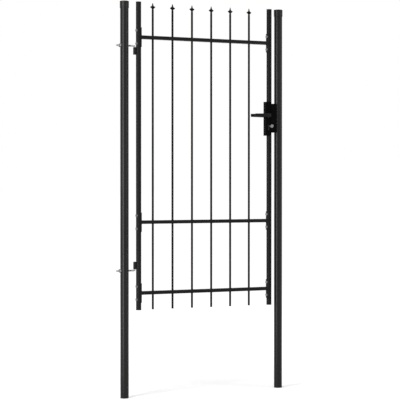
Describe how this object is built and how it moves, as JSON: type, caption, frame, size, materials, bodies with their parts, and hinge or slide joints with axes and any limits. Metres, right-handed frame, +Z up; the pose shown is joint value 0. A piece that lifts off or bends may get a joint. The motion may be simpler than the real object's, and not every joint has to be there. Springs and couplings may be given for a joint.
{
  "type": "garden gate",
  "caption": "Single garden gate: tube frame leaf with spear-topped pickets, hung on hook bolts between two capped posts, with a lever lock, key and keep.",
  "frame": {"origin": "centre of the hinge post's foot", "axes": "+X along the closed leaf from the hinge post to the latch post, +Y away from the side that the key is on, +Z up"},
  "size_m": [1.076, 0.117, 2.25],
  "materials": {
    "post_paint": "fine textured black powder coat, satin",
    "leaf_paint": "fine textured black powder coat, satin",
    "lock_paint": "black powder coat, semi matt",
    "lever_paint": "black coat on cast aluminium, satin",
    "plug_plastic": "moulded black polyethylene, matt",
    "cap_plastic": "moulded black plastic, satin",
    "zinc": "bright zinc plate, worn",
    "lock_steel": "plain machined steel",
    "sheet_steel": "galvanised sheet",
    "spring_steel": "drawn spring wire",
    "cylinder_nickel": "black nickel plate, brushed",
    "key_nickel": "stamped and nickel plated, worn",
    "bush_plastic": "turned black nylon"
  },
  "bodies": {
    "posts": {"hinge_post": "post_paint", "latch_post": "post_paint", "hinge_post_cap": "cap_plastic", "latch_post_cap": "cap_plastic", "upper_hinge_hook": "zinc", "lower_hinge_hook": "zinc", "hinge_washers": "zinc", "hinge_nuts": "zinc", "keep": "lock_paint", "keep_screws": "zinc"},
    "lever": {"spindle": "lock_steel", "follower": "lock_steel", "front_lever": "lever_paint", "rear_lever": "lever_paint", "lever_grub_screws": "lock_steel"},
    "latch": {"latch_bolt": "lock_steel"},
    "deadbolt": {"deadbolt": "lock_steel"},
    "plug": {"cylinder_plug": "cylinder_nickel", "cylinder_cam": "lock_steel"},
    "key": {"key": "key_nickel"},
    "leaf": {"hinge_stile": "leaf_paint", "latch_stile": "leaf_paint", "top_rail": "leaf_paint", "middle_rail": "leaf_paint", "bottom_rail": "leaf_paint", "top_hinge_saddle": "leaf_paint", "top_latch_saddle": "leaf_paint", "middle_hinge_saddle": "leaf_paint", "middle_latch_saddle": "leaf_paint", "bottom_hinge_saddle": "leaf_paint", "bottom_latch_saddle": "leaf_paint", "picket_1": "leaf_paint", "picket_2": "leaf_paint", "picket_3": "leaf_paint", "picket_4": "leaf_paint", "picket_5": "leaf_paint", "picket_6": "leaf_paint", "spear_1": "leaf_paint", "spear_2": "leaf_paint", "spear_3": "leaf_paint", "spear_4": "leaf_paint", "spear_5": "leaf_paint", "spear_6": "leaf_paint", "upper_knuckle": "leaf_paint", "lower_knuckle": "leaf_paint", "stile_plugs": "plug_plastic", "picket_plugs": "plug_plastic", "hinge_side_bolts": "zinc", "latch_side_bolts": "zinc", "threaded_inserts": "zinc", "face_plate_screws": "zinc", "cylinder_screw": "zinc", "lock_box": "lock_paint", "lock_case": "sheet_steel", "lock_cover": "sheet_steel", "lock_face_plate": "sheet_steel", "latch_spring": "spring_steel", "lever_spring": "spring_steel", "cylinder_body": "cylinder_nickel", "lever_bushes": "bush_plastic"}
  },
  "joints": [
    {"name": "leaf_swing", "type": "hinge", "parent": "posts", "child": "leaf", "pos_m": [0.064, 0, 1.2], "axis": [0, 0, 1], "range_deg": [0, 110]},
    {"name": "lever_turn", "type": "hinge", "parent": "leaf", "child": "lever", "pos_m": [0.923, 0, 1.619], "axis": [0, -1, 0], "range_deg": [0, 40], "stiffness_Nm_per_rad": 1, "springref_deg": -34.38},
    {"name": "latch_slide", "type": "slide", "parent": "leaf", "child": "latch", "axis": [-1, 0, 0], "range_m": [0, 0.01043], "deforming": ["latch_spring"]},
    {"name": "key_turn", "type": "hinge", "parent": "leaf", "child": "plug", "pos_m": [0.923, 0, 1.554], "axis": [0, 1, 0], "range_deg": [0, 90]},
    {"name": "deadbolt_slide", "type": "slide", "parent": "leaf", "child": "deadbolt", "axis": [1, 0, 0], "range_m": [0, 0.01159]},
    {"name": "key_withdraw", "type": "slide", "parent": "plug", "child": "key", "axis": [0, -1, 0], "range_m": [0, 0.055]}
  ],
  "couplings": [
    {"joint": "latch_slide", "follows": "lever_turn", "m_per_rad": 0.01491},
    {"joint": "key_turn", "follows": "deadbolt_slide", "rad_per_m": 135.45}
  ]
}
